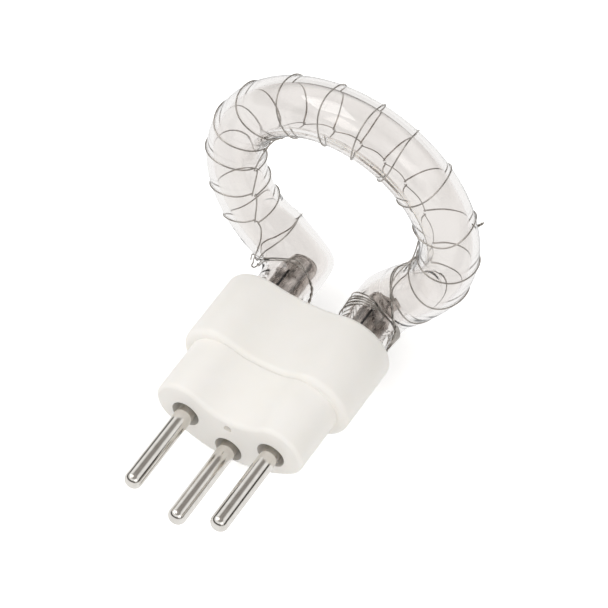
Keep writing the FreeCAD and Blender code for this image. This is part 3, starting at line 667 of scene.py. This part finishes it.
@dataclass
class ContactPin:
    """A turned pin: domed tip, ring groove, flange on the cavity floor and a solder cup.

    It is drawn to the length that shows, 3 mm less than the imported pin.
    """

    side: Side
    reach: float = 21.1
    radius: float = 2.0
    dome: float = 1.7
    groove: tuple[float, float, float] = (2.1, 3.0, 1.8)
    flange: tuple[float, float, float] = (16.0, 17.2, 2.6)
    shank_radius: float = 1.5
    cup: tuple[float, float, float] = (18.2, 20.6, 0.75)
    edge: float = 0.02
    sides: int = 64

    def profile(self) -> np.ndarray:
        """(Y, radius) from the tip to the bottom of the cup, with each corner doubled an edge apart.

        groove, flange and cup each give two places along Y and a radius.
        """
        a = np.linspace(0, np.pi / 2, 13)
        tip = np.stack([self.dome * (1 - np.cos(a)) - self.reach,
                        self.radius - self.dome * (1 - np.sin(a))], -1)
        e, r, shank = self.edge, self.radius, self.shank_radius
        (g1, g2, gr), (f1, f2, fr), (c1, c2, cr) = self.groove, self.flange, self.cup
        rest = [(g1 - e, r), (g1, r - e), (g1, gr), (g2, gr), (g2, r - e), (g2 + e, r), (f1, r), (f1, fr - e),
                (f1 + e, fr), (f2 - e, fr), (f2, fr - e), (f2, shank), (c2 - e, shank), (c2, shank - e),
                (c2, cr + e), (c2 - e, cr), (c1, cr)]
        return np.concatenate([tip, np.array(rest)])

    def build(self, metal: Any) -> Any:
        """Turn the profile round the pin's axis."""
        across, up = PINS[self.side]
        y, r = self.profile().T
        turn = np.linspace(0, 2 * np.pi, self.sides, endpoint=False)
        x, z = np.cos(turn)[None] * r[:, None], np.sin(turn)[None] * r[:, None]
        points = np.stack([x + across, np.broadcast_to(y[:, None], x.shape), z + up], -1).reshape(-1, 3)
        piece = make_piece(f"contact_{self.side.value}", points, capped(len(y), self.sides))
        fix_normals(piece)
        piece.data.set_sharp_from_angle(angle=math.radians(35))
        piece.data.materials.append(metal)
        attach(piece, "root")
        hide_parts(f"pin_{self.side.value}")
        return piece


@dataclass
class PlugShell:
    """The plug as packed, with the hollow top drawn as it shows.

    The hollow of the front block runs out towards the shoulder, and the shoulder's lip stands a little
    further forward and dips in the middle.
    """

    packed: Any
    fill: float = 2.5
    width: float = 9.0
    forward: float = 0.95
    dip: float = 0.8
    lift: float = 0.7
    shoulder: float = 15.0
    end: float = 32.5
    lobe: tuple[float, float] = (11.0, 1.3)
    hole_clear: float = 3.4
    top_from: float = 2.5
    lip_depth: float = 1.5
    rim_depth: float = 1.05
    near: float = 0.05

    def build(self) -> Any:
        """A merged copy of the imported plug, moved by smooth functions of X and Y.

        Only the outer skin moves. Front block's top: up by fill * Y / shoulder. Lip: forward, and down by dip.
        Rear rim: up by lift. Both waists fade as exp(-(X / width) ** 2).
        """
        mesh = self.packed.data.copy()
        mesh.transform(self.packed.matrix_world)
        shape = bmesh.new()
        shape.from_mesh(mesh)
        bmesh.ops.remove_doubles(shape, verts=shape.verts, dist=1e-5)
        shape.to_mesh(mesh)
        shape.free()
        if "custom_normal" in mesh.attributes:
            mesh.attributes.remove(mesh.attributes["custom_normal"])
        co, normal = np.zeros(len(mesh.vertices) * 3), np.zeros(len(mesh.vertices) * 3)
        mesh.vertices.foreach_get("co", co)
        mesh.vertex_normals.foreach_get("vector", normal)
        co, normal = co.reshape(-1, 3) / MM, normal.reshape(-1, 3)
        x, y, z = co.T
        reach, up = self.lobe
        aside = np.sign(x) * np.maximum(np.abs(x) - reach, 0)
        out = unit(np.stack([aside, np.where(np.abs(x) > reach, z - up, z)], -1) + 1e-9)
        outward = (normal[:, [0, 2]] * out).sum(-1)
        clear = np.min([np.hypot(x - a, z - b) for a, b in PINS.values()], axis=0) > self.hole_clear
        waist = np.exp(-((x / self.width) ** 2)) * (z > 0)
        top = clear & (outward > 0.15) & (z > self.top_from)
        before, past = y < self.shoulder - self.near, y > self.shoulder - self.near
        face = y < self.shoulder + self.near
        front = top & face & (before | (outward > 0.4))
        lip = clear & past & (y < self.shoulder + self.lip_depth) & ((outward > 0.05) | face)
        rim = top & (y > self.end - self.rim_depth)
        moved = co.copy()
        moved[:, 1] -= self.forward * lip
        moved[:, 2] += waist * (self.fill * np.clip(y / self.shoulder, 0, 1) * front
                                - self.dip * (lip & ~front) + self.lift * rim)
        mesh.vertices.foreach_set("co", (moved * MM).ravel())
        mesh.update()
        mesh.polygons.foreach_set("use_smooth", np.ones(len(mesh.polygons), bool))
        mesh.set_sharp_from_angle(angle=math.radians(40))
        mesh.materials.clear()
        mesh.materials.append(MOULDING.material())
        piece = bpy.data.objects.new("plug_shell", mesh)
        bpy.context.scene.collection.objects.link(piece)
        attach(piece, "root")
        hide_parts(self.packed.name)
        return piece


@dataclass
class CarriedOver:
    """Nodes whose shape stays as packed and which only get a finish."""

    nodes: dict[str, Any]

    def dress(self) -> None:
        """Give each node that stays its material."""
        finishes = {
            "potting_cement": CEMENT, "pin_clip": SPRING, "_sleeve": SHEET, "_base_disc": SHEET,
            "_core": TUNGSTEN, "_rod": TUNGSTEN, "_seal": SEAL, "_ferrule": SPRING, "_lead": COPPER,
        }
        made: dict[str, Any] = {}
        for name, piece in self.nodes.items():
            key = next((k for k in finishes if k in name), None)
            if key is None:
                continue
            finish = finishes[key]
            if finish.name not in made:
                made[finish.name] = finish.material()
            piece.data.materials.clear()
            piece.data.materials.append(made[finish.name])


# ---------------------------------------------------------------- room


@dataclass
class Room:
    """White floor, plain world light, soft lamps and the camera."""

    floor_z: float = -11.0
    floor_half: float = 3000.0
    floor_glow: float = 0.5
    world_light: float = 0.7
    target: tuple[float, float, float] = (0.0, 0.02, 0.01)
    lamps: tuple[tuple, ...] = (("key", (-0.25, -0.1, 0.55), 0.35, 1.1), ("fill", (0.45, -0.35, 0.3), 0.4, 0.4))
    place: tuple[float, float, float] = (202.07, -305.94, 492.52)
    forward: tuple[float, float, float] = (-0.32511, 0.54091, -0.77571)
    up: tuple[float, float, float] = (-0.39962, 0.66486, 0.63109)
    lens: float = 177.6

    def build(self) -> None:
        """Make everything round the object."""
        self.floor()
        self.world()
        for name, place, size, power in self.lamps:
            self.lamp(name, place, size, power)
        self.camera()
        bpy.context.scene.view_settings.view_transform = "Standard"

    def rays(self, tree: Any) -> tuple[Any, Any]:
        """Two outputs that are 1 for a camera ray, and for one from a mirror or through glass."""
        path = node(tree, "ShaderNodeLightPath")
        far = node(tree, "ShaderNodeMath",
                   {0: path.outputs["Is Glossy Ray"], 1: path.outputs["Is Transmission Ray"]},
                   operation="MAXIMUM")
        return path.outputs["Is Camera Ray"], far.outputs[0]

    def floor(self) -> None:
        """A large white sheet that keeps the object's soft shadow."""
        size, z = self.floor_half, self.floor_z
        corners = np.array([[-size, -size, z], [size, -size, z], [size, size, z], [-size, size, z]])
        sheet = make_piece("floor", corners, [[0, 1, 2, 3]], smooth=False)
        paper = bpy.data.materials.new("paper_white_matt")
        paper.use_nodes = True
        tree = paper.node_tree
        shader = tree.nodes["Principled BSDF"]
        shader.inputs["Base Color"].default_value = linear("#FFFFFF")
        shader.inputs["Roughness"].default_value = 0.9
        shader.inputs["Specular IOR Level"].default_value = 0.0
        glow = node(tree, "ShaderNodeEmission", {"Color": (1, 1, 1, 1), "Strength": self.floor_glow})
        lit = node(tree, "ShaderNodeAddShader", {0: shader.outputs[0], 1: glow.outputs[0]})
        camera, far = self.rays(tree)
        white = node(tree, "ShaderNodeEmission", {"Color": (1, 1, 1, 1), "Strength": 1.0})
        plain = node(tree, "ShaderNodeMixShader", {0: camera, 1: shader.outputs[0], 2: lit.outputs[0]})
        mix = node(tree, "ShaderNodeMixShader", {0: far, 1: plain.outputs[0], 2: white.outputs[0]})
        tree.links.new(mix.outputs[0], tree.nodes["Material Output"].inputs["Surface"])
        sheet.data.materials.append(paper)

    def world(self) -> None:
        """Plain pale light for surfaces; mirrors and glass see a studio: bright above, dim near the horizon."""
        world = bpy.data.worlds.new("studio")
        bpy.context.scene.world = world
        world.use_nodes = True
        tree = world.node_tree
        tree.nodes.clear()
        where = node(tree, "ShaderNodeTexCoord").outputs["Generated"]
        height = node(tree, "ShaderNodeSeparateXYZ", {0: where}).outputs["Z"]
        studio = ramp(tree, height, [(0.0, "#FFFFFF"), (0.03, "#B8B4B0"), (0.16, "#3C3936"), (0.34, "#4A4744"),
                                     (0.46, "#FFFFFF"), (0.74, "#FFFFFF"), (0.86, "#8E8A86"), (1.0, "#B4B0AC")])
        seen = node(tree, "ShaderNodeBackground", {"Color": studio, "Strength": 1.0})
        plain = node(tree, "ShaderNodeBackground", {"Color": linear("#FFFDFA"), "Strength": self.world_light})
        white = node(tree, "ShaderNodeBackground", {"Color": (1, 1, 1, 1), "Strength": 1.0})
        camera, far = self.rays(tree)
        first = node(tree, "ShaderNodeMixShader", {0: far, 1: plain.outputs[0], 2: seen.outputs[0]})
        second = node(tree, "ShaderNodeMixShader", {0: camera, 1: first.outputs[0], 2: white.outputs[0]})
        node(tree, "ShaderNodeOutputWorld", {"Surface": second.outputs[0]})

    def lamp(self, name: str, place: Sequence[float], size: float, power: float) -> None:
        """A square soft lamp that points at the target, in metres and watts."""
        data = bpy.data.lights.new(name, "AREA")
        data.size, data.energy = size, power
        lamp = bpy.data.objects.new(name, data)
        lamp.location = place
        lamp.rotation_euler = (Vector(self.target) - Vector(place)).to_track_quat("-Z", "Y").to_euler()
        bpy.context.scene.collection.objects.link(lamp)

    def camera(self) -> None:
        """The photograph's view point: a long lens from above and in front."""
        data = bpy.data.cameras.new("camera")
        data.lens, data.sensor_width = self.lens, 36.0
        data.clip_start, data.clip_end = 0.01, 20.0
        camera = bpy.data.objects.new("camera", data)
        back, up = -Vector(self.forward).normalized(), Vector(self.up).normalized()
        right = up.cross(back).normalized()
        turn = Matrix((right, back.cross(right), back)).transposed().to_4x4()
        camera.matrix_world = Matrix.Translation(Vector(self.place) * MM) @ turn
        bpy.context.scene.collection.objects.link(camera)
        bpy.context.scene.camera = camera


def main() -> None:
    """Build each piece in order over the loaded frame and report it."""
    logging.basicConfig(level=logging.INFO, format="%(name)s: %(message)s")
    Room().build()
    glass = GlassTube()
    made = [glass.build()]
    made += TriggerWire(glass).build()
    metal = NICKEL.material()
    for side in PINS:
        made.append(ContactPin(side).build(metal))
    made.append(PlugShell(frame["nodes"]["plug_body"]).build())
    CarriedOver(frame["nodes"]).dress()
    for piece in made:
        LOG.info("%s: %d faces", piece.name, len(piece.data.polygons))


if __name__ == "__main__":
    main()
